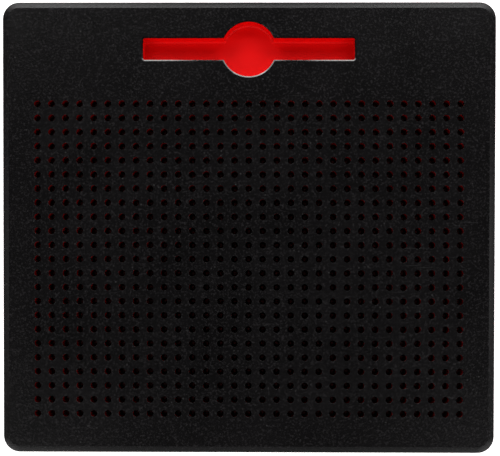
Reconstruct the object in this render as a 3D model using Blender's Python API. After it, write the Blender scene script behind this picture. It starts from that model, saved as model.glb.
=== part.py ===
"""Magnetic ball drawing board: a flat case, 23 rows of 31 steel balls and a stylus recess.

The board lies on its back. The origin is the middle of its underside, +Z is out of the
drawing face and +Y points to the edge with the stylus recess. Units are metres.
"""
import math

import bmesh
import bpy
from mathutils import Matrix, Vector

# ---- driving dimensions -------------------------------------------------------------
BOARD_WIDTH = 0.280
BOARD_HEIGHT = 0.256
BOARD_THICKNESS = 0.013
CORNER_RADIUS = 0.0094
FACE_ROUNDING = 0.0028
BACK_ROUNDING = 0.0020

PITCH = 0.008
COLUMNS = 31
ROWS = 23
TOP_ROW_Y = 0.0703

BALL_DIAMETER = 0.0042
BALL_DOWN_Z = 0.0056

RECESS_Y = 0.1015
RECESS_LENGTH = 0.120
RECESS_WIDTH = 0.0128
WELL_RADIUS = 0.01575
RECESS_FLOOR_Z = 0.0047

GAP = 0.0003
SKIN = 0.0010
SIDE_WALL = 0.0020
PARTING_Z = 0.0050
REAR_FLOOR = 0.0018
SHEET_THICKNESS = 0.0010
TRAY_WALL = 0.0013
TRAY_SIDE_MARGIN = 0.0028
TRAY_END_MARGIN = 0.0042
FIELD_MARGIN = 0.0047
RIB_WALL = 0.0009
CHANNEL_WALL = 0.00045
CHANNEL_CHAMFER_SHARE = 0.55

SCREW_HEAD_RADIUS = 0.0025
SCREW_HEAD_HEIGHT = 0.0015
SCREW_CROWN_RADIUS = 0.0020
SCREW_CROWN_HEIGHT = 0.0006
SCREW_SHANK_RADIUS = 0.0012
SCREW_LENGTH = 0.0085
BOSS_RADIUS = 0.0030
SLEEVE_RADIUS = 0.00425
SLEEVE_TOP_Z = 0.0040
SCREW_X = 0.131
SCREW_Y = 0.1185
SCREW_MIDDLE_Y = 0.040
SCREW_MIDDLE_X = 0.060

MERGE = 1e-6
ROUND_SIDES = 40
BORE_SIDES = 10

# ---- values that follow from them ---------------------------------------------------
FACE_Z = BOARD_THICKNESS
SKIN_Z = FACE_Z - SKIN
TRAY_TOP_Z = SKIN_Z - GAP
SHEET_Z = REAR_FLOOR + GAP
TRAY_Z = SHEET_Z + SHEET_THICKNESS + GAP
DECK_Z = TRAY_TOP_Z - SKIN

BALL_RADIUS = BALL_DIAMETER / 2
ROW_LENGTH = (COLUMNS - 1) * PITCH + BALL_DIAMETER
SLOT_LENGTH = ROW_LENGTH + 2 * GAP
SLOT_WIDTH = BALL_DIAMETER + 2 * GAP
BOTTOM_ROW_Y = TOP_ROW_Y - (ROWS - 1) * PITCH

TRAY_HALF_WIDTH = SLOT_LENGTH / 2 + TRAY_SIDE_MARGIN
TRAY_LOW_Y = BOTTOM_ROW_Y - TRAY_END_MARGIN
TRAY_HIGH_Y = RECESS_Y + RECESS_WIDTH / 2 + TRAY_WALL
FIELD_HIGH_Y = TOP_ROW_Y + FIELD_MARGIN

SCREW_HEAD_Z = GAP
COUNTERBORE_Z = SCREW_HEAD_Z + SCREW_HEAD_HEIGHT + GAP
SCREW_LEVELS = (-SCREW_Y, -SCREW_MIDDLE_Y, SCREW_MIDDLE_Y, SCREW_Y)
SCREW_PLACES = [(side * SCREW_X, y) for y in SCREW_LEVELS for side in (-1, 1)]
SCREW_PLACES += [(-SCREW_MIDDLE_X, -SCREW_Y), (SCREW_MIDDLE_X, -SCREW_Y)]


def row_y(row):
    """Height on the board of a ball row, counted from 0 at the recess end."""
    return TOP_ROW_Y - row * PITCH


# ---- small helpers ------------------------------------------------------------------
def material(name, colour, roughness, metallic=0.0):
    """A Principled material with one colour."""
    made = bpy.data.materials.new(name)
    made.use_nodes = True
    shader = made.node_tree.nodes["Principled BSDF"]
    shader.inputs["Base Color"].default_value = (*colour, 1.0)
    shader.inputs["Roughness"].default_value = roughness
    shader.inputs["Metallic"].default_value = metallic
    made.diffuse_color = (*colour, 1.0)
    return made


def add_object(name, bm, finish=None, location=(0.0, 0.0, 0.0)):
    """Turn a bmesh into a named object at a place."""
    mesh = bpy.data.meshes.new(name)
    bmesh.ops.recalc_face_normals(bm, faces=bm.faces)
    bm.to_mesh(mesh)
    bm.free()
    if finish:
        mesh.materials.append(finish)
    made = bpy.data.objects.new(name, mesh)
    made.location = location
    bpy.context.collection.objects.link(made)
    return made


def box(bm, low, high):
    """Add a box between two corners."""
    low, high = Vector(low), Vector(high)
    size = high - low
    place = Matrix.Translation((low + high) / 2) @ Matrix.Diagonal((*size, 1.0))
    bmesh.ops.create_cube(bm, size=1.0, matrix=place)


def strip(bm, y, half_width, low_z, high_z):
    """Add a box along a whole ball row, centred on a height y of the board."""
    half_length = SLOT_LENGTH / 2
    box(bm, (-half_length, y - half_width, low_z), (half_length, y + half_width, high_z))


def pocket(bm, first, second, high_z):
    """Add a box between two plan corners, from under the tray up to a height."""
    low = [min(a, b) for a, b in zip(first, second)]
    high = [max(a, b) for a, b in zip(first, second)]
    box(bm, (*low, TRAY_Z - SKIN), (*high, high_z))


def disc(bm, centre, radius, low_z, high_z, segments=16):
    """Add an upright cylinder."""
    place = Matrix.Translation((centre[0], centre[1], (low_z + high_z) / 2))
    bmesh.ops.create_cone(bm, cap_ends=True, segments=segments, radius1=radius,
                          radius2=radius, depth=high_z - low_z, matrix=place)


def rounded_slab(width, height, low_z, high_z, corner, edge_z, edge_radius):
    """A slab with round corners in plan and one rounded rim, at the height edge_z."""
    bm = bmesh.new()
    box(bm, (-width / 2, -height / 2, low_z), (width / 2, height / 2, high_z))
    upright = [e for e in bm.edges if abs(e.verts[0].co.z - e.verts[1].co.z) > MERGE]
    bmesh.ops.bevel(bm, geom=upright, affect="EDGES", offset=corner, segments=6,
                    profile=0.5, material=-1)
    rim = [e for e in bm.edges if all(abs(v.co.z - edge_z) < MERGE for v in e.verts)]
    bmesh.ops.bevel(bm, geom=rim, affect="EDGES", offset=edge_radius, segments=3,
                    profile=0.5, material=-1)
    return bm


def boolean(target, tool, operation):
    """Cut or join the target with a hidden tool object."""
    tool.hide_render = True
    tool.display_type = "WIRE"
    modifier = target.modifiers.new(tool.name, "BOOLEAN")
    modifier.operation = operation
    modifier.solver = "EXACT"
    modifier.object = tool


def recess_outline(name, grow, low_z, high_z):
    """The stylus bar joined with its round finger well, as one upright solid."""
    half_length = RECESS_LENGTH / 2 + grow
    half_width = RECESS_WIDTH / 2 + grow
    bm = bmesh.new()
    low = (-half_length, RECESS_Y - half_width, low_z)
    high = (half_length, RECESS_Y + half_width, high_z)
    box(bm, low, high)
    bar = add_object(name, bm)
    bm = bmesh.new()
    disc(bm, (0, RECESS_Y), WELL_RADIUS + grow, low_z, high_z, segments=ROUND_SIDES)
    boolean(bar, add_object(name + "_well", bm), "UNION")
    return bar


# ---- the pieces ---------------------------------------------------------------------
def front_cover(finish):
    """Black front moulding: thin face, side walls, row slots, stylus window, screw bosses."""
    bm = rounded_slab(BOARD_WIDTH, BOARD_HEIGHT, PARTING_Z + GAP, FACE_Z, CORNER_RADIUS, FACE_Z,
                      FACE_ROUNDING)
    cover = add_object("front_cover", bm, finish)
    bm = rounded_slab(BOARD_WIDTH - 2 * SIDE_WALL, BOARD_HEIGHT - 2 * SIDE_WALL, PARTING_Z - SKIN,
                      SKIN_Z, CORNER_RADIUS - SIDE_WALL, SKIN_Z, FACE_ROUNDING - SKIN)
    boolean(cover, add_object("front_inside", bm), "DIFFERENCE")

    bm = bmesh.new()
    for place in SCREW_PLACES:
        disc(bm, place, BOSS_RADIUS, SLEEVE_TOP_Z + GAP, SKIN_Z + SKIN / 2)
    boolean(cover, add_object("front_bosses", bm), "UNION")

    bm = bmesh.new()
    for row in range(ROWS):
        strip(bm, row_y(row), SLOT_WIDTH / 2, SKIN_Z - SKIN, FACE_Z + SKIN)
    bore_low, bore_high = PARTING_Z - 2 * SKIN, SCREW_LENGTH + 2 * SKIN
    for place in SCREW_PLACES:
        disc(bm, place, SCREW_SHANK_RADIUS + GAP, bore_low, bore_high, segments=BORE_SIDES)
    boolean(cover, add_object("front_holes", bm), "DIFFERENCE")
    boolean(cover, recess_outline("front_window", 0.0, SKIN_Z - SKIN, FACE_Z + SKIN), "DIFFERENCE")
    return cover


def ball_tray(finish):
    """Red inner moulding: ribs between the ball channels and the stylus trough with its floor."""
    bm = bmesh.new()
    box(bm, (-TRAY_HALF_WIDTH, TRAY_LOW_Y, TRAY_Z), (TRAY_HALF_WIDTH, TRAY_HIGH_Y, TRAY_TOP_Z))
    tray = add_object("ball_tray", bm, finish)
    bm = bmesh.new()
    disc(bm, (0, RECESS_Y), WELL_RADIUS + TRAY_WALL, TRAY_Z, TRAY_TOP_Z, segments=ROUND_SIDES)
    boolean(tray, add_object("tray_well_wall", bm), "UNION")
    boolean(tray, recess_outline("tray_trough", 0.0, RECESS_FLOOR_Z, FACE_Z), "DIFFERENCE")

    bm = bmesh.new()
    for row in range(ROWS):
        strip(bm, row_y(row), SLOT_WIDTH / 2, TRAY_Z - SKIN, FACE_Z)
    rib_half_pocket = (PITCH - SLOT_WIDTH) / 2 - RIB_WALL
    for row in range(ROWS - 1):
        strip(bm, row_y(row) - PITCH / 2, rib_half_pocket, TRAY_Z - SKIN, DECK_Z)
    side_x = TRAY_HALF_WIDTH - TRAY_WALL
    well_x = WELL_RADIUS + 2 * TRAY_WALL
    bar_x = RECESS_LENGTH / 2 + 2 * TRAY_WALL
    bar_low_y = RECESS_Y - RECESS_WIDTH / 2 - TRAY_WALL
    for side in (-1, 1):
        pocket(bm, (side * well_x, FIELD_HIGH_Y), (side * side_x, bar_low_y), DECK_Z)
        bar_end = (side * bar_x, bar_low_y + TRAY_WALL)
        pocket(bm, bar_end, (side * side_x, TRAY_HIGH_Y - TRAY_WALL), DECK_Z)
    well_low_y = RECESS_Y - WELL_RADIUS - 2 * TRAY_WALL
    pocket(bm, (-WELL_RADIUS, FIELD_HIGH_Y), (WELL_RADIUS, well_low_y), DECK_Z)
    boolean(tray, add_object("tray_hollows", bm), "DIFFERENCE")
    return tray


def floor_sheet(finish):
    """Thin sheet that closes the ball chambers from below."""
    bm = bmesh.new()
    high = (TRAY_HALF_WIDTH, FIELD_HIGH_Y, SHEET_Z + SHEET_THICKNESS)
    box(bm, (-TRAY_HALF_WIDTH, TRAY_LOW_Y, SHEET_Z), high)
    return add_object("floor_sheet", bm, finish)


def rear_cover(finish):
    """Red rear shell: floor, low side walls, screw sleeves with counterbores."""
    bm = rounded_slab(BOARD_WIDTH, BOARD_HEIGHT, 0.0, PARTING_Z, CORNER_RADIUS, 0.0, BACK_ROUNDING)
    cover = add_object("rear_cover", bm, finish)
    bm = rounded_slab(BOARD_WIDTH - 2 * SIDE_WALL, BOARD_HEIGHT - 2 * SIDE_WALL, REAR_FLOOR,
                      PARTING_Z + SKIN, CORNER_RADIUS - SIDE_WALL, REAR_FLOOR, BACK_ROUNDING / 2)
    boolean(cover, add_object("rear_inside", bm), "DIFFERENCE")
    bm = bmesh.new()
    for place in SCREW_PLACES:
        disc(bm, place, SLEEVE_RADIUS, REAR_FLOOR / 2, SLEEVE_TOP_Z)
    boolean(cover, add_object("rear_sleeves", bm), "UNION")
    bm = bmesh.new()
    for place in SCREW_PLACES:
        disc(bm, place, SCREW_HEAD_RADIUS + GAP, -SKIN, COUNTERBORE_Z)
    boolean(cover, add_object("rear_counterbores", bm), "DIFFERENCE")
    bm = bmesh.new()
    for place in SCREW_PLACES:
        disc(bm, place, SCREW_SHANK_RADIUS + GAP, 0.0, SLEEVE_TOP_Z + SKIN, segments=BORE_SIDES)
    boolean(cover, add_object("rear_clearance_holes", bm), "DIFFERENCE")
    return cover


def ball_row_mesh(finish):
    """A thin steel channel as wide and high as the balls, with the steel volume of 31 balls."""
    outer = BALL_RADIUS
    chamfer = BALL_RADIUS * CHANNEL_CHAMFER_SHARE
    inner = outer - CHANNEL_WALL
    slope = chamfer - CHANNEL_WALL * (2 - math.sqrt(2))
    arch = [(-outer, -outer), (-outer, outer - chamfer), (-outer + chamfer, outer)]
    arch += [(-y, z) for y, z in reversed(arch)]
    inside = [(-inner, -outer), (-inner, inner - slope), (-inner + slope, inner)]
    inside += [(-y, z) for y, z in reversed(inside)]
    bm = bmesh.new()
    profile = [bm.verts.new((-ROW_LENGTH / 2, y, z)) for y, z in arch + inside[::-1]]
    face = bm.faces.new(profile)
    swept = bmesh.ops.extrude_face_region(bm, geom=[face])
    moved = [item for item in swept["geom"] if isinstance(item, bmesh.types.BMVert)]
    bmesh.ops.translate(bm, verts=moved, vec=(ROW_LENGTH, 0, 0))
    bmesh.ops.recalc_face_normals(bm, faces=bm.faces)
    mesh = bpy.data.meshes.new("ball_row")
    bm.to_mesh(mesh)
    bm.free()
    mesh.materials.append(finish)
    return mesh


def ball_rows(finish):
    """The moving rows. Each one has its origin at its balls' centre line."""
    mesh = ball_row_mesh(finish)
    for row in range(ROWS):
        made = bpy.data.objects.new(f"ball_row_{row + 1:02d}", mesh)
        made.location = (0, row_y(row), BALL_DOWN_Z)
        bpy.context.collection.objects.link(made)


def case_screws(finish):
    """Pan-head screws driven from the back into the front cover's bosses."""
    for number, (x, y) in enumerate(SCREW_PLACES, start=1):
        bm = bmesh.new()
        neck_z = SCREW_HEAD_HEIGHT
        rim = [(0, 0), (SCREW_CROWN_RADIUS, 0), (SCREW_HEAD_RADIUS, SCREW_CROWN_HEIGHT),
               (SCREW_HEAD_RADIUS, neck_z), (SCREW_SHANK_RADIUS, neck_z),
               (SCREW_SHANK_RADIUS, SCREW_LENGTH - SCREW_SHANK_RADIUS), (0, SCREW_LENGTH)]
        points = [bm.verts.new((radius, 0, z)) for radius, z in rim]
        edges = [bm.edges.new(pair) for pair in zip(points, points[1:])]
        bmesh.ops.spin(bm, geom=points + edges, cent=(0, 0, 0), axis=(0, 0, 1),
                       angle=math.tau, steps=BORE_SIDES, use_merge=True)
        bmesh.ops.remove_doubles(bm, verts=bm.verts, dist=MERGE)
        screw = add_object(f"case_screw_{number:02d}", bm, finish, (x, y, SCREW_HEAD_Z))
        screw.data.shade_smooth()
        screw.data.set_sharp_from_angle(angle=0.7)


def main():
    """Build the board from an empty scene."""
    for item in list(bpy.data.objects):
        bpy.data.objects.remove(item)
    black_plastic = material("black_plastic", (0.008, 0.008, 0.009), 0.42)
    red_plastic = material("red_plastic", (0.62, 0.006, 0.006), 0.35)
    ball_steel = material("ball_steel", (0.42, 0.42, 0.43), 0.22, 1.0)
    dark_sheet = material("dark_sheet", (0.015, 0.015, 0.015), 0.85)
    screw_steel = material("screw_steel", (0.30, 0.30, 0.31), 0.35, 1.0)
    front_cover(black_plastic)
    ball_tray(red_plastic)
    floor_sheet(dark_sheet)
    rear_cover(red_plastic)
    ball_rows(ball_steel)
    case_screws(screw_steel)


main()
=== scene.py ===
"""Looks of a magnetic ball drawing board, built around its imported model.

The board lies on its back with its drawing face up (+Z) and its stylus recess towards +Y.
All lengths are metres.
"""
import math

import bmesh
import bpy
from bpy.props import FloatProperty, FloatVectorProperty, PointerProperty
from mathutils import Matrix, Vector


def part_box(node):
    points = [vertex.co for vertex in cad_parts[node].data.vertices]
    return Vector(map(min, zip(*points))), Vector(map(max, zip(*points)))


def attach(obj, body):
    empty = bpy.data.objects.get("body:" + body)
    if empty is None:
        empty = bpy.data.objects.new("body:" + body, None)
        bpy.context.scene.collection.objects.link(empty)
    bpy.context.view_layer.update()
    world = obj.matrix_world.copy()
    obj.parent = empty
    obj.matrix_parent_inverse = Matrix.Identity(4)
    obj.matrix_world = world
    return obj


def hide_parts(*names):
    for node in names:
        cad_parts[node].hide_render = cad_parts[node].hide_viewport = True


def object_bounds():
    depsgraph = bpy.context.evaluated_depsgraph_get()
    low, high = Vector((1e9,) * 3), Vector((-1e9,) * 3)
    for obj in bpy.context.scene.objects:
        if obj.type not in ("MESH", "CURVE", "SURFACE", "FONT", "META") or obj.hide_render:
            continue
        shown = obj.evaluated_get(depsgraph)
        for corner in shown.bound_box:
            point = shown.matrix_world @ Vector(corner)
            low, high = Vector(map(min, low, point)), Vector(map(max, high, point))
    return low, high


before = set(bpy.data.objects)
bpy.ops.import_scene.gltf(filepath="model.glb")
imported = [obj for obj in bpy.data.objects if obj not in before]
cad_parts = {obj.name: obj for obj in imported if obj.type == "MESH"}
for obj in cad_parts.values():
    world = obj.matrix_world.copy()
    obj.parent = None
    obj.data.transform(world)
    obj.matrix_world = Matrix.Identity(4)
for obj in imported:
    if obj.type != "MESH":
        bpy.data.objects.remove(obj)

CAD_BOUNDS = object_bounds()

bl_info = {
    "name": "Magnetic ball board",
    "version": (1, 0, 0),
    "blender": (4, 5, 0),
    "location": "View3D > Sidebar > Ball board",
    "description": "Builds the finished pieces of a magnetic ball drawing board around its packed model",
    "category": "Add Mesh",
}

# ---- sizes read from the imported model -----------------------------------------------
ROW_NODES = sorted(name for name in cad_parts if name.startswith("ball_row_"))
SCREW_NODES = sorted(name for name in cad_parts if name.startswith("case_screw_"))
CASE_BODY = "case"

COVER_LOW, COVER_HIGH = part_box("front_cover")
TRAY_LOW, TRAY_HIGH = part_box("ball_tray")
REAR_LOW, REAR_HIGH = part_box("rear_cover")
FIRST_ROW_LOW, FIRST_ROW_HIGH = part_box(ROW_NODES[0])
LAST_ROW_LOW, LAST_ROW_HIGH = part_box(ROW_NODES[-1])

BOARD_WIDTH = COVER_HIGH.x - COVER_LOW.x
BOARD_HEIGHT = COVER_HIGH.y - COVER_LOW.y
FACE_Z = COVER_HIGH.z
BALL_DIAMETER = FIRST_ROW_HIGH.z - FIRST_ROW_LOW.z
BALL_Z = (FIRST_ROW_HIGH.z + FIRST_ROW_LOW.z) / 2
TOP_ROW_Y = (FIRST_ROW_HIGH.y + FIRST_ROW_LOW.y) / 2
BOTTOM_ROW_Y = (LAST_ROW_HIGH.y + LAST_ROW_LOW.y) / 2
ROWS = len(ROW_NODES)
PITCH = (TOP_ROW_Y - BOTTOM_ROW_Y) / (ROWS - 1)
COLUMNS = round((FIRST_ROW_HIGH.x - FIRST_ROW_LOW.x - BALL_DIAMETER) / PITCH) + 1
FIRST_COLUMN_X = -(COLUMNS - 1) * PITCH / 2
FIELD_LEFT = FIRST_COLUMN_X - PITCH / 2
FIELD_TOP = TOP_ROW_Y + PITCH / 2
FIELD_BOTTOM = BOTTOM_ROW_Y - PITCH / 2

# ---- how finely shapes are drawn ----------------------------------------------------
MERGE = 1e-6
LEVEL_NORMAL = 0.9999
CORNER_STEPS = 10
ARC_STEPS = 5
HOLE_SIDES = 16
ROUND_SIDES = 24
WELL_SIDES = 64
FILLET_STEPS = 8
BALL_SUBDIVISIONS = 2
SHARP_ANGLE = 0.5
SCREW_SHARP_ANGLE = 0.6
BALL_SHARP_ANGLE = 3.0

# ---- fixed sizes of the pieces ------------------------------------------------------
SMALLEST_CORNER = 0.0008
RECESS_CORNER = 0.0010
TRAY_RIM = 0.0006

BOSS_RADIUS = 0.0030
BOSS_BELOW_WALL = 0.001
PILOT_RADIUS = 0.0015
PILOT_END_Z = 0.0105

REAR_FLOOR_Z = 0.0018
SEAT_RADIUS = 0.0028
SEAT_Z = 0.0021
SCREW_HOLE_RADIUS = 0.0015
SLEEVE_RADIUS = 0.00425
SLEEVE_TOP_Z = 0.0040

TROUGH_WALL = 0.0013
TROUGH_PLAY = 0.0002
TROUGH_FILLET = 0.0016
TROUGH_OUTER_ROUND = 0.004
WELL_OUTER_ROUND = 0.002

SCREW_HEAD_RADIUS = 0.0024
SCREW_HEAD_HEIGHT = 0.0015
SCREW_SHANK_RADIUS = 0.0012
SCREW_CORE_RADIUS = 0.00095
SCREW_PLAIN_LENGTH = 0.0012
SCREW_TIP_LENGTH = 0.0011
SCREW_TURNS = 9
CROSS_ARM = (0.0026, 0.00062, 0.0020)
CROSS_TAPER = (0.45, 0.8, 1.0)


# ---- sizes and colours that a user may change ---------------------------------------
def length_property(name, description, default):
    """A property in metres."""
    return FloatProperty(name=name, description=description, default=default, subtype="DISTANCE",
                         unit="LENGTH", precision=5, min=0.0)


def power_property(name, description, default):
    """The power of a light."""
    return FloatProperty(name=name, description=description, default=default, unit="POWER")


def colour_property(name, description, default):
    """A linear colour."""
    return FloatVectorProperty(name=name, description=description, default=default,
                               subtype="COLOR", size=3, min=0.0, max=1.0)


class BoardSizes(bpy.types.PropertyGroup):
    """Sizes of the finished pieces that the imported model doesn't state."""

    hole_diameter: length_property("Hole", "Width of each round hole in the face", 0.0039)
    hole_lip: length_property("Hole lip", "Small chamfer round each hole", 0.00010)
    chamber_width: length_property("Chamber width", "Width of the red chamber under a hole", 0.00428)
    chamber_length: length_property("Chamber length", "Length of that chamber along Y", 0.0046)
    skin: length_property("Face thickness", "Thickness of the black face", 0.0010)
    corner_radius: length_property("Corner", "Plan radius of the case's corners", 0.0094)
    edge_band: length_property("Edge band", "Width of the sloped band round the face", 0.0036)
    edge_drop: length_property("Edge drop", "How far the sloped band falls", 0.0013)
    edge_radius: length_property("Edge radius", "Rounding below the sloped band", 0.0005)
    back_rounding: length_property("Back edge", "Rounding where the back meets the sides", 0.0020)
    side_wall: length_property("Side wall", "Thickness of the case's side walls", 0.0020)
    recess_y: length_property("Recess place", "Distance of the recess from the board's middle", 0.1013)
    recess_length: length_property("Recess length", "Length of the stylus bar recess", 0.120)
    recess_width: length_property("Recess width", "Width of the stylus bar recess", 0.0124)
    well_radius: length_property("Finger well", "Radius of the round finger well", 0.0155)
    recess_floor: length_property("Recess floor", "Height of the recess floor above the table", 0.0047)
    lip_width: length_property("Window lip", "Width of the polished slope round the recess", 0.00066)
    lip_drop: length_property("Window lip drop", "How far that slope falls", 0.00031)


class BoardFinish(bpy.types.PropertyGroup):
    """Colours of the finished pieces."""

    face_black: colour_property("Face black", "Black plastic of the front", (0.0029, 0.0026, 0.0028))
    # The chambers' red and the trough's red are one plastic set at two strengths: the chamber red is a
    # painted shade copy for walls deep in the holes.
    shaded_tray_red: colour_property("Tray red", "Red plastic of the chambers", (0.35, 0.0030, 0.0040))
    trough_red: colour_property("Trough red", "Red plastic of the stylus recess", (0.75, 0.0006, 0.0008))
    rear_red: colour_property("Rear red", "Red plastic of the rear cover", (0.36, 0.003, 0.003))
    # The ball steel is set far darker than real polished steel: painted shade for balls lying deep in
    # their holes.
    ball_steel: colour_property("Ball steel", "Polished steel of the balls", (0.09, 0.09, 0.09))
    screw_steel: colour_property("Screw steel", "Plated steel of the screws", (0.55, 0.55, 0.57))
    sheet_dark: colour_property("Floor sheet", "Dark sheet under the balls", (0.012, 0.012, 0.013))


class StudioSettings(bpy.types.PropertyGroup):
    """Camera, floor and lights."""

    camera_height: length_property("Camera height", "Lens height above the face", 0.480)
    camera_foot: FloatVectorProperty(
        name="Camera foot", description="Where the lens stands over the board",
        default=(0.0105, -0.032), size=2, subtype="XYZ", unit="LENGTH")
    camera_turn: FloatVectorProperty(
        name="Camera turn", description="Small turn of the lens from straight down",
        default=(-0.01396, 0.00707, 0.00164), size=3, subtype="EULER")
    camera_shift: FloatVectorProperty(
        name="Camera shift", description="Lens shift, as a share of the picture",
        default=(-0.0220, 0.1364), size=2)
    frame_width: length_property("Framed width", "Width that the picture takes in at the face", 0.2840)
    floor_size: length_property("Floor", "Width of the floor", 40.0)
    floor_glow: FloatProperty(
        name="Floor glow", description="Light given by the floor itself", default=0.88, min=0.0)
    key_power: power_property("Key light", "Strip light beyond the recess end", 5.0)
    fill_power: power_property("Fill light", "Soft box at the near end", 1.2)
    far_power: power_property("Far lights", "Two soft boxes at the far end", 3.8)
    near_power: power_property("Near lights", "Two soft boxes at the near end", 3.2)
    left_power: power_property("Left light", "Low soft box at the left", 0.7)
    right_power: power_property("Right light", "Low soft box at the right", 1.8)


def sizes():
    """The board's sizes as set in the scene."""
    return bpy.context.scene.board_sizes


def finish_colours():
    """The board's colours as set in the scene."""
    return bpy.context.scene.board_finish


def studio():
    """The studio's settings as set in the scene."""
    return bpy.context.scene.board_studio


# ---- mesh helpers -------------------------------------------------------------------
def finished_object(name, bm, materials, smooth_angle=SHARP_ANGLE):
    """Make an object at the origin from a bmesh, with its round parts smooth and its level parts flat."""
    mesh = bpy.data.meshes.new(name)
    bm.to_mesh(mesh)
    bm.free()
    for made in materials:
        mesh.materials.append(made)
    mesh.shade_smooth()
    mesh.set_sharp_from_angle(angle=smooth_angle)
    for polygon in mesh.polygons:
        if abs(polygon.normal.z) > LEVEL_NORMAL:
            polygon.use_smooth = False
    piece = bpy.data.objects.new(name, mesh)
    bpy.context.collection.objects.link(piece)
    return piece


def place_piece(piece, body, slot, *nodes):
    """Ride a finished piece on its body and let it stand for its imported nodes."""
    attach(piece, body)
    if nodes:
        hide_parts(*nodes)


def rounded_outline(bm, width, height, corner, z):
    """Add a flat ring of edges, a rectangle with round corners, and return its edges."""
    plane = bmesh.new()
    bmesh.ops.create_grid(plane, x_segments=1, y_segments=1, size=0.5)
    bmesh.ops.scale(plane, verts=plane.verts, vec=(width, height, 1.0))
    bmesh.ops.bevel(plane, geom=plane.verts[:], affect="VERTICES", offset=corner,
                    segments=CORNER_STEPS, profile=0.5, material=-1)
    bmesh.ops.translate(plane, verts=plane.verts, vec=(0, 0, z))
    bmesh.ops.delete(plane, geom=plane.faces[:], context="FACES_ONLY")
    return absorb(bm, plane)


def absorb(bm, other):
    """Copy another bmesh's points and edges into this one, free it, and return the new edges."""
    copies = {v: bm.verts.new(v.co) for v in other.verts}
    edges = [bm.edges.new((copies[e.verts[0]], copies[e.verts[1]])) for e in other.edges]
    other.free()
    return edges


def bridge(bm, rings, material_index=0):
    """Join each ring of edges with the next one. Two rings at one height are filled flat."""
    for first, second in zip(rings, rings[1:]):
        if abs(first[0].verts[0].co.z - second[0].verts[0].co.z) < MERGE:
            faces = fill_flat(bm, first + second)
        else:
            faces = bmesh.ops.bridge_loops(bm, edges=first + second)["faces"]
        for face in faces:
            face.material_index = material_index


def ring_of_circle(bm, centre, radius, z, sides=ROUND_SIDES):
    """Add a circle of edges and return them."""
    made = bmesh.ops.create_circle(bm, segments=sides, radius=radius, cap_ends=False,
                                   matrix=Matrix.Translation((centre[0], centre[1], z)))
    return list({e for v in made["verts"] for e in v.link_edges})


def recess_outline(bm, grow, z):
    """Add the recess's outline, a bar through a circle, grown all round, and return its edges."""
    s = sizes()
    radius = s.well_radius + grow
    half_width = s.recess_width / 2 + grow
    half_length = s.recess_length / 2 + grow
    corner = RECESS_CORNER + grow
    meet = math.asin(half_width / radius)
    points = []
    for turn in (0, math.pi):
        for step in range(CORNER_STEPS * 2 + 1):
            angle = turn + meet + (math.pi - 2 * meet) * step / (CORNER_STEPS * 2)
            points.append((radius * math.cos(angle), radius * math.sin(angle)))
        end = -1 if turn == 0 else 1
        for quarter in (0, 1):
            sign_y = (1 if quarter == 0 else -1) * -end
            centre = (end * (half_length - corner), sign_y * (half_width - corner))
            start = turn + math.pi / 2 * (1 + quarter)
            for step in range(ARC_STEPS):
                angle = start + math.pi / 2 * step / (ARC_STEPS - 1)
                points.append((centre[0] + corner * math.cos(angle),
                               centre[1] + corner * math.sin(angle)))
    ring = [bm.verts.new((x, s.recess_y + y, z)) for x, y in points]
    return [bm.edges.new(pair) for pair in zip(ring, ring[1:] + ring[:1])]


def fill_flat(bm, edges):
    """Fill the flat region between rings of edges and return the new faces."""
    made = bmesh.ops.triangle_fill(bm, use_beauty=True, use_dissolve=False, edges=edges,
                                   normal=(0, 0, 1))
    return [item for item in made["geom"] if isinstance(item, bmesh.types.BMFace)]


def grid_boundary(bm, z):
    """The edges at one height that lie on the outline of the hole field."""
    limits = ((0, FIELD_LEFT), (0, -FIELD_LEFT), (1, FIELD_TOP), (1, FIELD_BOTTOM))
    chosen = []
    for e in bm.edges:
        a, b = e.verts[0].co, e.verts[1].co
        if abs(a.z - z) > MERGE or abs(b.z - z) > MERGE:
            continue
        if any(abs(a[axis] - at) < MERGE and abs(b[axis] - at) < MERGE for axis, at in limits):
            chosen.append(e)
    return chosen


def square_ring(bm, z):
    """One cell's square outline, with a point for each point of its round hole."""
    cell = bmesh.new()
    steps = HOLE_SIDES // 4
    bmesh.ops.create_grid(cell, x_segments=steps, y_segments=steps, size=PITCH / 2)
    inner = [v for v in cell.verts if not v.is_boundary]
    bmesh.ops.delete(cell, geom=inner, context="VERTS")
    bmesh.ops.translate(cell, verts=cell.verts, vec=(FIRST_COLUMN_X, TOP_ROW_Y, z))
    return absorb(bm, cell)


def stretch_low_side(bm, edges, centre_y, factor):
    """Stretch a ring along Y on the side away from the recess only."""
    low = [v for v in {v for e in edges for v in e.verts} if v.co.y < centre_y - MERGE]
    bmesh.ops.scale(bm, verts=low, vec=(1.0, factor, 1.0),
                    space=Matrix.Translation((0, -centre_y, 0)))


def hole_field(bm, rings, top_z, low_z, stretch=1.0):
    """Add the whole field of holes. Each ring is a hole's radius and height, from the top down.
    A stretch above 1 lengthens every hole on the side away from the recess."""
    centre = (FIRST_COLUMN_X, TOP_ROW_Y)
    loops = [square_ring(bm, top_z)]
    loops += [ring_of_circle(bm, centre, radius, z, HOLE_SIDES) for radius, z in rings]
    for ring in loops[1:]:
        stretch_low_side(bm, ring, TOP_ROW_Y, stretch)
    loops.append(square_ring(bm, low_z))
    bridge(bm, loops)
    cell = bm.verts[:] + bm.edges[:] + bm.faces[:]
    for column in range(1, COLUMNS):
        copy = bmesh.ops.duplicate(bm, geom=cell)["geom"]
        moved = [item for item in copy if isinstance(item, bmesh.types.BMVert)]
        bmesh.ops.translate(bm, verts=moved, vec=(column * PITCH, 0, 0))
    line = bm.verts[:] + bm.edges[:] + bm.faces[:]
    for row in range(1, ROWS):
        copy = bmesh.ops.duplicate(bm, geom=line)["geom"]
        moved = [item for item in copy if isinstance(item, bmesh.types.BMVert)]
        bmesh.ops.translate(bm, verts=moved, vec=(0, -row * PITCH, 0))
    bmesh.ops.remove_doubles(bm, verts=bm.verts, dist=MERGE * 10)


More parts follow.
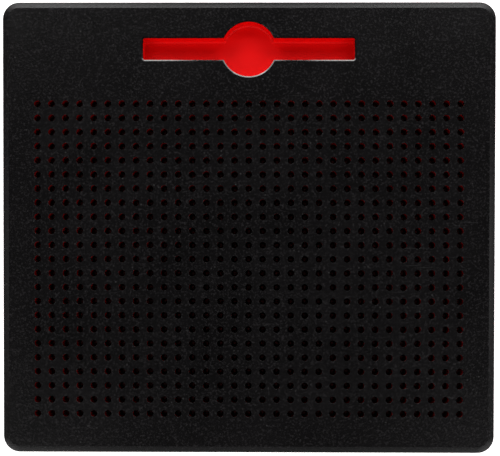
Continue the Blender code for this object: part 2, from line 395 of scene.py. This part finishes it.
def face_outwards(bm):
    """Turn every face of a closed shape outwards."""
    bmesh.ops.recalc_face_normals(bm, faces=bm.faces)


def quarter_rings(inset, radius, z, rise):
    """Steps of a quarter round from flat to upright, as (inset, height) pairs. It falls from z where
    rise is 1, and climbs from z where rise is -1."""
    steps = []
    for step in range(ARC_STEPS + 1):
        angle = math.pi / 2 * step / ARC_STEPS
        steps.append((inset + radius * (1 - math.sin(angle)),
                      z - rise * radius * (1 - math.cos(angle))))
    return steps


def case_rings(bm, steps):
    """Outlines of the case at several insets and heights."""
    s = sizes()
    rings = []
    for inset, z in steps:
        corner = max(s.corner_radius - inset, SMALLEST_CORNER)
        rings.append(rounded_outline(bm, BOARD_WIDTH - 2 * inset, BOARD_HEIGHT - 2 * inset, corner, z))
    return rings


def screw_places():
    """The middle of each screw in plan."""
    places = []
    for name in SCREW_NODES:
        low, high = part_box(name)
        places.append(((low.x + high.x) / 2, (low.y + high.y) / 2))
    return places


# ---- materials ----------------------------------------------------------------------
class Shading:
    """Short words for building one node material on a Principled shader."""

    def __init__(self, name, colour, roughness, metallic=0.0, specular_level=0.5):
        self.made = bpy.data.materials.new(name)
        self.made.use_nodes = True
        self.tree = self.made.node_tree
        self.shader = self.tree.nodes["Principled BSDF"]
        self.shader.inputs["Base Color"].default_value = (*colour, 1.0)
        self.shader.inputs["Roughness"].default_value = roughness
        self.shader.inputs["Metallic"].default_value = metallic
        self.shader.inputs["Specular IOR Level"].default_value = specular_level
        self.place = self.tree.nodes.new("ShaderNodeTexCoord").outputs["Object"]

    def link(self, source, target):
        """Join two sockets."""
        self.tree.links.new(source, target)

    def mapped(self, scale, turn=(0.0, 0.0, 0.0)):
        """Object coordinates stretched and turned."""
        node = self.tree.nodes.new("ShaderNodeMapping")
        node.inputs["Scale"].default_value = scale
        node.inputs["Rotation"].default_value = turn
        self.link(self.place, node.inputs["Vector"])
        return node.outputs["Vector"]

    def noise(self, scale, detail=2.0, vector=None, roughness=0.5):
        """Cloudy noise from 0 to 1."""
        node = self.tree.nodes.new("ShaderNodeTexNoise")
        node.inputs["Scale"].default_value = scale
        node.inputs["Detail"].default_value = detail
        node.inputs["Roughness"].default_value = roughness
        self.link(vector or self.place, node.inputs["Vector"])
        return node.outputs["Fac"]

    def cells(self, scale, vector=None):
        """Distance to the nearest scattered point."""
        node = self.tree.nodes.new("ShaderNodeTexVoronoi")
        node.inputs["Scale"].default_value = scale
        self.link(vector or self.place, node.inputs["Vector"])
        return node.outputs["Distance"]

    def ramp(self, value, low, high, from_value=0.0, to_value=1.0):
        """Map a value's range onto another, held inside it."""
        node = self.tree.nodes.new("ShaderNodeMapRange")
        node.inputs["From Min"].default_value = low
        node.inputs["From Max"].default_value = high
        node.inputs["To Min"].default_value = from_value
        node.inputs["To Max"].default_value = to_value
        self.link(value, node.inputs["Value"])
        return node.outputs["Result"]

    def times(self, first, second):
        """Multiply two values."""
        node = self.tree.nodes.new("ShaderNodeMath")
        node.operation = "MULTIPLY"
        for socket, value in zip(node.inputs, (first, second)):
            if isinstance(value, float):
                socket.default_value = value
            else:
                self.link(value, socket)
        return node.outputs["Value"]

    def blend(self, amount, first, second):
        """Mix two colours by an amount."""
        node = self.tree.nodes.new("ShaderNodeMix")
        node.data_type = "RGBA"
        sockets = [s for s in node.inputs if s.type == "RGBA"]
        for socket, colour in zip(sockets, (first, second)):
            if isinstance(colour, (tuple, list)):
                socket.default_value = (*colour, 1.0)
            else:
                self.link(colour, socket)
        self.link(amount, node.inputs["Factor"])
        return next(s for s in node.outputs if s.type == "RGBA")

    def colour(self, source):
        """Send a colour to the shader."""
        self.link(source, self.shader.inputs["Base Color"])

    def roughness(self, source):
        """Send a roughness to the shader."""
        self.link(source, self.shader.inputs["Roughness"])

    def bumps(self, layers):
        """Stack bump layers, each a height socket, a depth in metres and a strength."""
        normal = None
        for height, depth, strength in layers:
            node = self.tree.nodes.new("ShaderNodeBump")
            node.inputs["Distance"].default_value = depth
            node.inputs["Strength"].default_value = strength
            self.link(height, node.inputs["Height"])
            if normal:
                self.link(normal, node.inputs["Normal"])
            normal = node.outputs["Normal"]
        self.link(normal, self.shader.inputs["Normal"])


def tone(colour, factor):
    """A colour made lighter or darker."""
    return tuple(min(1.0, part * factor) for part in colour)


def grained_black():
    """Black moulded plastic with fine spark grain and faint scratches. Its lighter grain peaks and pale
    specks are painted sparkle highlight.
    """
    base = tuple(finish_colours().face_black)
    s = Shading("black_grained_plastic", base, 0.34, specular_level=0.18)
    grain = s.noise(900.0, 3.0)
    patches = s.noise(28.0, 3.0)
    # Pale specks: painted sparkle highlight where the grain catches the light.
    painted_sparkle_specks = s.ramp(s.cells(260.0), 0.16, 0.05)
    sparkle_speck_mask = s.ramp(s.noise(60.0, 2.0), 0.50, 0.62)
    scratches = s.ramp(s.noise(60.0, 1.0, s.mapped((1.0, 26.0, 1.0), (0, 0, 0.35))), 0.68, 0.76)
    scratch_mask = s.ramp(s.noise(14.0, 1.0), 0.56, 0.70)
    marks = s.times(painted_sparkle_specks, sparkle_speck_mask)
    lined = s.times(scratches, scratch_mask)
    clouded = s.blend(s.ramp(patches, 0.3, 0.7), tone(base, 0.7), tone(base, 1.4))
    # Lighter grain peaks: painted sparkle highlight laid on the real grain.
    grain_sparkle = s.blend(s.ramp(grain, 0.52, 0.72), clouded, tone(base, 4.0))
    # Lays the painted sparkle specks over the colour.
    with_sparkle_specks = s.blend(s.times(marks, 0.8), grain_sparkle, (0.035, 0.034, 0.034))
    s.colour(s.blend(s.times(lined, 0.4), with_sparkle_specks, (0.03, 0.03, 0.03)))
    s.roughness(s.ramp(grain, 0.50, 0.72, 0.30, 0.46))
    s.bumps([(grain, 0.00008, 0.6), (lined, 0.00002, 0.3)])
    return s.made


def polished_black():
    """The same plastic where the mould is smooth, at the recess's edge."""
    base = tuple(finish_colours().face_black)
    s = Shading("black_polished_edge", base, 0.12)
    wear = s.noise(400.0, 2.0)
    s.colour(s.blend(s.ramp(wear, 0.4, 0.7), base, tone(base, 2.0)))
    s.roughness(s.ramp(wear, 0.3, 0.7, 0.08, 0.18))
    s.bumps([(wear, 0.00001, 0.2)])
    return s.made


def red_plastic(name, base, low_roughness, high_roughness, grain_scale, grain_depth):
    """Red moulded plastic with slight flow marks."""
    base = tuple(base)
    s = Shading(name, base, low_roughness, specular_level=0.12)
    flow = s.noise(35.0, 3.0, s.mapped((1.0, 2.5, 1.0)))
    grain = s.noise(grain_scale, 2.0)
    s.colour(s.blend(s.ramp(flow, 0.3, 0.7), tone(base, 0.93), tone(base, 1.05)))
    s.roughness(s.ramp(grain, 0.3, 0.7, low_roughness, high_roughness))
    s.bumps([(grain, grain_depth, 0.4)])
    return s.made


def ball_steel():
    """Polished steel with faint haze."""
    # Painted shade: the steel's colour is set far darker than real steel.
    base = tuple(finish_colours().ball_steel)
    s = Shading("ball_steel", base, 0.18, 1.0)
    haze = s.noise(900.0, 2.0)
    s.colour(s.blend(s.ramp(haze, 0.35, 0.65), tone(base, 0.85), base))
    s.roughness(s.ramp(haze, 0.3, 0.7, 0.12, 0.26))
    return s.made


def screw_steel():
    """Zinc-plated steel with turning marks."""
    base = tuple(finish_colours().screw_steel)
    s = Shading("screw_steel", base, 0.3, 1.0)
    marks = s.noise(2500.0, 2.0)
    s.colour(s.blend(s.ramp(marks, 0.35, 0.65), tone(base, 0.8), base))
    s.roughness(s.ramp(marks, 0.3, 0.7, 0.22, 0.42))
    s.bumps([(marks, 0.00001, 0.3)])
    return s.made


def sheet_foam():
    """Dark closed-cell foam sheet."""
    base = tuple(finish_colours().sheet_dark)
    s = Shading("dark_foam_sheet", base, 0.9)
    pores = s.cells(1400.0)
    s.colour(s.blend(s.ramp(pores, 0.2, 0.6), base, tone(base, 1.6)))
    s.roughness(s.ramp(pores, 0.2, 0.6, 0.95, 0.8))
    s.bumps([(pores, 0.0001, 0.5)])
    return s.made


# ---- the pieces ---------------------------------------------------------------------
class BOARD_OT_front_cover(bpy.types.Operator):
    """Black front moulding with 713 round holes, the stylus window and screw bosses"""

    bl_idname = "ball_board.front_cover"
    bl_label = "Front cover"

    def execute(self, context):
        s = sizes()
        bm = bmesh.new()
        skin_z = FACE_Z - s.skin
        radius = s.hole_diameter / 2
        hole_rings = [(radius + s.hole_lip, FACE_Z), (radius, FACE_Z - s.hole_lip),
                      (radius, skin_z)]
        hole_field(bm, hole_rings, FACE_Z, skin_z)
        top_field = grid_boundary(bm, FACE_Z)
        low_field = grid_boundary(bm, skin_z)

        outside = [(s.edge_band, FACE_Z)]
        outside += quarter_rings(0.0, s.edge_radius, FACE_Z - s.edge_drop, 1.0)
        # Known fault: this is the foot of the node's bosses and not of its wall, which is 1 mm
        # higher. So the wall and the bosses below reach 0.7 mm into the rear cover.
        foot_z = COVER_LOW.z
        inside = [(s.side_wall, foot_z)]
        inner_round = s.edge_band - s.side_wall + s.edge_radius
        inside += quarter_rings(s.side_wall, inner_round, skin_z, 1.0)[::-1]
        rings = case_rings(bm, outside + [(0.0, foot_z)] + inside)
        bridge(bm, rings)

        window = [recess_outline(bm, s.lip_width, FACE_Z),
                  recess_outline(bm, 0.0, FACE_Z - s.lip_drop)]
        bridge(bm, window, material_index=1)
        low_window = recess_outline(bm, 0.0, skin_z)
        bridge(bm, [window[-1], low_window])

        bosses = []
        boss_low_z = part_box("front_cover")[0].z - BOSS_BELOW_WALL
        for place in screw_places():
            root = ring_of_circle(bm, place, BOSS_RADIUS, skin_z)
            rim = ring_of_circle(bm, place, BOSS_RADIUS, boss_low_z)
            mouth = ring_of_circle(bm, place, PILOT_RADIUS, boss_low_z)
            bottom = ring_of_circle(bm, place, PILOT_RADIUS, PILOT_END_Z)
            bridge(bm, [root, rim, mouth, bottom])
            bmesh.ops.contextual_create(bm, geom=bottom)
            bosses += root
        fill_flat(bm, rings[0] + window[0] + top_field)
        fill_flat(bm, rings[-1] + low_window + low_field + bosses)
        face_outwards(bm)
        cover = finished_object("front_cover_shell", bm, [grained_black(), polished_black()])
        place_piece(cover, CASE_BODY, "black_plastic", "front_cover")
        return {"FINISHED"}


class BOARD_OT_ball_tray(bpy.types.Operator):
    """Red tray with a round chamber under every hole"""

    bl_idname = "ball_board.ball_tray"
    bl_label = "Ball tray"

    def execute(self, context):
        s = sizes()
        bm = bmesh.new()
        radius = s.chamber_width / 2
        stretch = (s.chamber_length - radius) / radius
        chamber = [(radius, TRAY_HIGH.z), (radius, TRAY_LOW.z)]
        hole_field(bm, chamber, TRAY_HIGH.z, TRAY_LOW.z, stretch)
        width = -2 * FIELD_LEFT + 2 * TRAY_RIM
        height = FIELD_TOP - FIELD_BOTTOM + 2 * TRAY_RIM
        outer = []
        for z in (TRAY_HIGH.z, TRAY_LOW.z):
            frame_ring = bmesh.new()
            bmesh.ops.create_grid(frame_ring, x_segments=1, y_segments=1, size=0.5)
            bmesh.ops.scale(frame_ring, verts=frame_ring.verts, vec=(width, height, 1.0))
            bmesh.ops.translate(frame_ring, verts=frame_ring.verts,
                                vec=(0, (FIELD_TOP + FIELD_BOTTOM) / 2, z))
            bmesh.ops.delete(frame_ring, geom=frame_ring.faces[:], context="FACES_ONLY")
            outer.append(absorb(bm, frame_ring))
        fill_flat(bm, outer[0] + grid_boundary(bm, TRAY_HIGH.z))
        fill_flat(bm, outer[1] + grid_boundary(bm, TRAY_LOW.z))
        bridge(bm, outer)
        face_outwards(bm)
        # Painted shade: the chambers use a darker copy of the trough's red plastic.
        red = red_plastic("tray_red_plastic", finish_colours().shaded_tray_red, 0.45, 0.60, 900.0, 0.00003)
        tray = finished_object("chamber_tray", bm, [red])
        place_piece(tray, CASE_BODY, "red_plastic", "ball_tray")
        return {"FINISHED"}


def carve(target, tool, operation):
    """Cut or join the target with a tool object for good, and remove the tool."""
    modifier = target.modifiers.new("carve", "BOOLEAN")
    modifier.operation = operation
    modifier.solver = "EXACT"
    modifier.object = tool
    bpy.context.view_layer.update()
    evaluated = target.evaluated_get(bpy.context.evaluated_depsgraph_get())
    mesh = bpy.data.meshes.new_from_object(evaluated)
    target.modifiers.clear()
    old = target.data
    target.data = mesh
    mesh.name = target.name
    bpy.data.meshes.remove(old)
    bpy.data.objects.remove(tool)


def finish_carved(piece, finish, smooth_angle):
    """Give a carved object its one material and shade its round parts smooth."""
    piece.data.materials.clear()
    piece.data.materials.append(finish)
    piece.data.shade_smooth()
    piece.data.set_sharp_from_angle(angle=smooth_angle)


def solid(name, bm):
    """A plain working object from a bmesh."""
    face_outwards(bm)
    mesh = bpy.data.meshes.new(name)
    bm.to_mesh(mesh)
    bm.free()
    made = bpy.data.objects.new(name, mesh)
    bpy.context.collection.objects.link(made)
    return made


def rounded_trough(grow, top_z, low_z, rounding):
    """A straight bar with square ends whose two long lower edges are round, standing up to top_z."""
    s = sizes()
    half_width = s.recess_width / 2 + grow
    half_length = s.recess_length / 2 + grow
    bm = bmesh.new()
    bmesh.ops.create_cube(bm, size=1.0)
    bmesh.ops.scale(bm, verts=bm.verts, vec=(2 * half_length, 2 * half_width, top_z - low_z))
    bmesh.ops.translate(bm, verts=bm.verts, vec=(0, s.recess_y, (top_z + low_z) / 2))
    low = [e for e in bm.edges if all(abs(v.co.z - low_z) < MERGE for v in e.verts)]
    long_low = [e for e in low if abs(e.verts[0].co.x - e.verts[1].co.x) > MERGE]
    bmesh.ops.bevel(bm, geom=long_low, affect="EDGES", offset=rounding, segments=FILLET_STEPS,
                    profile=0.5, material=-1)
    return bm


def round_well(grow, top_z, low_z, rounding):
    """The finger well: a drum with a rounded foot."""
    s = sizes()
    bm = bmesh.new()
    place = Matrix.Translation((0, s.recess_y, (top_z + low_z) / 2))
    bmesh.ops.create_cone(bm, cap_ends=True, segments=WELL_SIDES, radius1=s.well_radius + grow,
                          radius2=s.well_radius + grow, depth=top_z - low_z, matrix=place)
    foot = [e for e in bm.edges if all(abs(v.co.z - low_z) < MERGE for v in e.verts)]
    bmesh.ops.bevel(bm, geom=foot, affect="EDGES", offset=rounding, segments=FILLET_STEPS,
                    profile=0.5, material=-1)
    return bm


class BOARD_OT_stylus_trough(bpy.types.Operator):
    """Red trough for the stylus bar with its round finger well"""

    bl_idname = "ball_board.stylus_trough"
    bl_label = "Stylus trough"

    def execute(self, context):
        outside = (TROUGH_WALL, TRAY_HIGH.z, TRAY_LOW.z)
        trough = solid("stylus_trough", rounded_trough(*outside, TROUGH_OUTER_ROUND))
        carve(trough, solid("well_wall", round_well(*outside, WELL_OUTER_ROUND)), "UNION")
        inside = (TROUGH_PLAY, FACE_Z + TROUGH_WALL, sizes().recess_floor, TROUGH_FILLET)
        cut = solid("bar_cut", rounded_trough(*inside))
        carve(cut, solid("well_cut", round_well(*inside)), "UNION")
        carve(trough, cut, "DIFFERENCE")
        red = red_plastic("trough_red_plastic", finish_colours().trough_red, 0.50, 0.62, 700.0,
                          0.00003)
        finish_carved(trough, red, SHARP_ANGLE)
        place_piece(trough, CASE_BODY, "red_plastic", "ball_tray")
        return {"FINISHED"}


class BOARD_OT_balls(bpy.types.Operator):
    """Rows of steel balls, one piece for each moving row"""

    bl_idname = "ball_board.balls"
    bl_label = "Steel balls"

    def execute(self, context):
        steel = ball_steel()
        for node in ROW_NODES:
            low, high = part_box(node)
            row_y = (low.y + high.y) / 2
            bm = bmesh.new()
            for column in range(COLUMNS):
                x = FIRST_COLUMN_X + column * PITCH
                bmesh.ops.create_icosphere(bm, subdivisions=BALL_SUBDIVISIONS,
                                           radius=BALL_DIAMETER / 2,
                                           matrix=Matrix.Translation((x, row_y, BALL_Z)))
            name = node.replace("ball_row", "steel_balls")
            piece = finished_object(name, bm, [steel], BALL_SHARP_ANGLE)
            place_piece(piece, node, "ball_steel", node)
        return {"FINISHED"}


class BOARD_OT_rear_cover(bpy.types.Operator):
    """Red rear shell with screw sleeves and counterbores"""

    bl_idname = "ball_board.rear_cover"
    bl_label = "Rear cover"

    def execute(self, context):
        s = sizes()
        bm = bmesh.new()
        outside = quarter_rings(0.0, s.back_rounding, REAR_LOW.z, -1.0)
        rim_z = REAR_HIGH.z
        inside = [(s.side_wall, rim_z), (s.side_wall, REAR_FLOOR_Z)]
        rings = case_rings(bm, outside + [(0.0, rim_z)] + inside)
        bridge(bm, rings)
        mouths = []
        sleeves = []
        for place in screw_places():
            mouth = ring_of_circle(bm, place, SEAT_RADIUS, REAR_LOW.z)
            seat = ring_of_circle(bm, place, SEAT_RADIUS, SEAT_Z)
            hole = ring_of_circle(bm, place, SCREW_HOLE_RADIUS, SEAT_Z)
            rim = ring_of_circle(bm, place, SCREW_HOLE_RADIUS, SLEEVE_TOP_Z)
            sleeve = ring_of_circle(bm, place, SLEEVE_RADIUS, SLEEVE_TOP_Z)
            foot = ring_of_circle(bm, place, SLEEVE_RADIUS, REAR_FLOOR_Z)
            bridge(bm, [mouth, seat, hole, rim, sleeve, foot])
            mouths += mouth
            sleeves += foot
        fill_flat(bm, rings[0] + mouths)
        fill_flat(bm, rings[-1] + sleeves)
        face_outwards(bm)
        red = red_plastic("rear_red_plastic", finish_colours().rear_red, 0.42, 0.60, 1300.0, 0.00005)
        rear = finished_object("rear_cover_shell", bm, [red])
        place_piece(rear, CASE_BODY, "red_plastic", "rear_cover")
        return {"FINISHED"}


class BOARD_OT_screws(bpy.types.Operator):
    """Pan-head screws with a cross recess and a thread"""

    bl_idname = "ball_board.screws"
    bl_label = "Case screws"

    def execute(self, context):
        steel = screw_steel()
        for node in SCREW_NODES:
            low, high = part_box(node)
            centre = ((low.x + high.x) / 2, (low.y + high.y) / 2, low.z)
            head = solid(node.replace("case_screw", "pan_screw"), screw_body(high.z - low.z))
            for turn in (0.0, math.pi / 2):
                carve(head, solid("cross_arm", cross_arm(turn)), "DIFFERENCE")
            head.data.transform(Matrix.Translation(centre))
            finish_carved(head, steel, SCREW_SHARP_ANGLE)
            place_piece(head, CASE_BODY, "screw_steel", node)
        return {"FINISHED"}


def screw_body(length):
    """A turned screw, head down at the origin, with ridges for its thread."""
    head, height, core = SCREW_HEAD_RADIUS, SCREW_HEAD_HEIGHT, SCREW_CORE_RADIUS
    profile = [(0.0, 0.0), (head * 0.55, 0.0), (head * 0.85, height * 0.2),
               (head, height * 0.55), (head, height), (core, height)]
    pitch = (length - height - SCREW_PLAIN_LENGTH) / SCREW_TURNS
    for turn in range(SCREW_TURNS):
        base = height + turn * pitch
        profile += [(core, base + pitch * 0.2), (SCREW_SHANK_RADIUS, base + pitch * 0.5),
                    (core, base + pitch * 0.8)]
    profile += [(core, length - SCREW_TIP_LENGTH), (0.0, length)]
    bm = bmesh.new()
    points = [bm.verts.new((radius, 0, z)) for radius, z in profile]
    edges = [bm.edges.new(pair) for pair in zip(points, points[1:])]
    bmesh.ops.spin(bm, geom=points + edges, cent=(0, 0, 0), axis=(0, 0, 1), angle=math.tau,
                   steps=ROUND_SIDES, use_merge=True)
    bmesh.ops.remove_doubles(bm, verts=bm.verts, dist=MERGE)
    return bm


def cross_arm(turn):
    """One tapered arm of the cross that is pressed into a screw head."""
    bm = bmesh.new()
    bmesh.ops.create_cube(bm, size=1.0)
    bmesh.ops.scale(bm, verts=bm.verts, vec=CROSS_ARM)
    tip = [v for v in bm.verts if v.co.z > 0]
    bmesh.ops.scale(bm, verts=tip, vec=CROSS_TAPER)
    bmesh.ops.rotate(bm, verts=bm.verts, cent=(0, 0, 0), matrix=Matrix.Rotation(turn, 3, "Z"))
    return bm


class BOARD_OT_floor_sheet(bpy.types.Operator):
    """Finish of the dark sheet that closes the chambers"""

    bl_idname = "ball_board.floor_sheet"
    bl_label = "Floor sheet"

    def execute(self, context):
        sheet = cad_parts["floor_sheet"]
        sheet.data.materials.clear()
        sheet.data.materials.append(sheet_foam())
        return {"FINISHED"}


# ---- the stage ----------------------------------------------------------------------
def area_light(name, place, target, width, height, power):
    """A rectangular soft box at a place, turned to a target."""
    data = bpy.data.lights.new(name, "AREA")
    data.shape = "RECTANGLE"
    data.size = width
    data.size_y = height
    data.energy = power
    lamp = bpy.data.objects.new(name, data)
    lamp.location = place
    lamp.rotation_mode = "QUATERNION"
    lamp.visible_camera = False
    lamp.rotation_quaternion = (Vector(target) - Vector(place)).to_track_quat("-Z", "Y")
    bpy.context.collection.objects.link(lamp)


def studio_world():
    """A dim sky that is a little brighter near the horizon."""
    world = bpy.data.worlds.new("studio")
    world.use_nodes = True
    tree = world.node_tree
    background = tree.nodes["Background"]
    direction = tree.nodes.new("ShaderNodeTexCoord").outputs["Generated"]
    split = tree.nodes.new("ShaderNodeSeparateXYZ")
    tree.links.new(direction, split.inputs["Vector"])
    ramp = tree.nodes.new("ShaderNodeMapRange")
    ramp.inputs["From Min"].default_value = 0.15
    ramp.inputs["From Max"].default_value = 0.30
    ramp.inputs["To Min"].default_value = 0.9
    ramp.inputs["To Max"].default_value = 0.02
    tree.links.new(split.outputs["Z"], ramp.inputs["Value"])
    tree.links.new(ramp.outputs["Result"], background.inputs["Strength"])
    background.inputs["Color"].default_value = (1.0, 1.0, 1.0, 1.0)
    bpy.context.scene.world = world


class BOARD_OT_stage(bpy.types.Operator):
    """Pale floor, soft studio lights and the camera over the board"""

    bl_idname = "ball_board.stage"
    bl_label = "Stage"

    def execute(self, context):
        t = studio()
        bm = bmesh.new()
        bmesh.ops.create_grid(bm, x_segments=1, y_segments=1, size=t.floor_size / 2)
        bmesh.ops.translate(bm, verts=bm.verts, vec=(0, 0, CAD_BOUNDS[0].z - 0.0001))
        white = Shading("floor_white", (0.9, 0.9, 0.9), 0.9)
        white.shader.inputs["Emission Color"].default_value = (1.0, 1.0, 1.0, 1.0)
        white.shader.inputs["Emission Strength"].default_value = t.floor_glow
        floor = finished_object("studio_floor", bm, [white.made])

        middle = (0, 0, 0)
        area_light("key_strip", (0.0, 0.93, 0.43), (0, 0.03, 0), 1.2, 0.14, t.key_power)
        area_light("near_strip", (0.0, -0.80, 0.67), middle, 1.2, 0.35, t.fill_power)
        for side in (-1, 1):
            far, near = (side * 0.45, 0.74, 0.62), (side * 0.58, -0.56, 0.68)
            area_light(f"far_box_{side + 1}", far, middle, 0.5, 0.5, t.far_power)
            area_light(f"near_box_{side + 1}", near, middle, 0.5, 0.5, t.near_power)
        area_light("left_box", (-0.92, 0.0, 0.42), middle, 0.3, 1.0, t.left_power)
        area_light("right_box", (1.0, 0.0, 0.30), middle, 0.3, 1.0, t.right_power)
        studio_world()

        camera = bpy.data.cameras.new("board_camera")
        camera.sensor_width = 36.0
        camera.lens = camera.sensor_width * t.camera_height / t.frame_width
        camera.shift_x, camera.shift_y = t.camera_shift
        view = bpy.data.objects.new("board_camera", camera)
        view.location = (t.camera_foot[0], t.camera_foot[1], FACE_Z + t.camera_height)
        view.rotation_euler = t.camera_turn
        context.collection.objects.link(view)
        context.scene.camera = view
        context.scene.view_settings.view_transform = "Standard"
        return {"FINISHED"}


class BOARD_PT_panel(bpy.types.Panel):
    """Buttons for every piece of the board"""

    bl_idname = "BOARD_PT_panel"
    bl_label = "Magnetic ball board"
    bl_space_type = "VIEW_3D"
    bl_region_type = "UI"
    bl_category = "Ball board"

    def draw(self, context):
        layout = self.layout
        for operator in OPERATORS:
            layout.operator(operator.bl_idname)
        for group in ("board_sizes", "board_finish", "board_studio"):
            box = layout.box()
            settings = getattr(context.scene, group)
            for name in settings.bl_rna.properties.keys():
                if name not in ("rna_type", "name"):
                    box.prop(settings, name)


GROUPS = {"board_sizes": BoardSizes, "board_finish": BoardFinish, "board_studio": StudioSettings}
OPERATORS = [BOARD_OT_stage, BOARD_OT_rear_cover, BOARD_OT_floor_sheet, BOARD_OT_ball_tray,
             BOARD_OT_stylus_trough, BOARD_OT_balls, BOARD_OT_front_cover, BOARD_OT_screws]


def register():
    """Register every class and hang the settings on the scene."""
    for made in [*GROUPS.values(), *OPERATORS, BOARD_PT_panel]:
        bpy.utils.register_class(made)
    for name, group in GROUPS.items():
        setattr(bpy.types.Scene, name, PointerProperty(type=group))


def unregister():
    """Take the settings off the scene and unregister every class."""
    for name in GROUPS:
        delattr(bpy.types.Scene, name)
    for made in reversed([*GROUPS.values(), *OPERATORS, BOARD_PT_panel]):
        bpy.utils.unregister_class(made)


def main():
    """Build the pieces in order."""
    register()
    for operator in OPERATORS:
        group, name = operator.bl_idname.split(".")
        getattr(getattr(bpy.ops, group), name)()


if __name__ == "__main__":
    main()
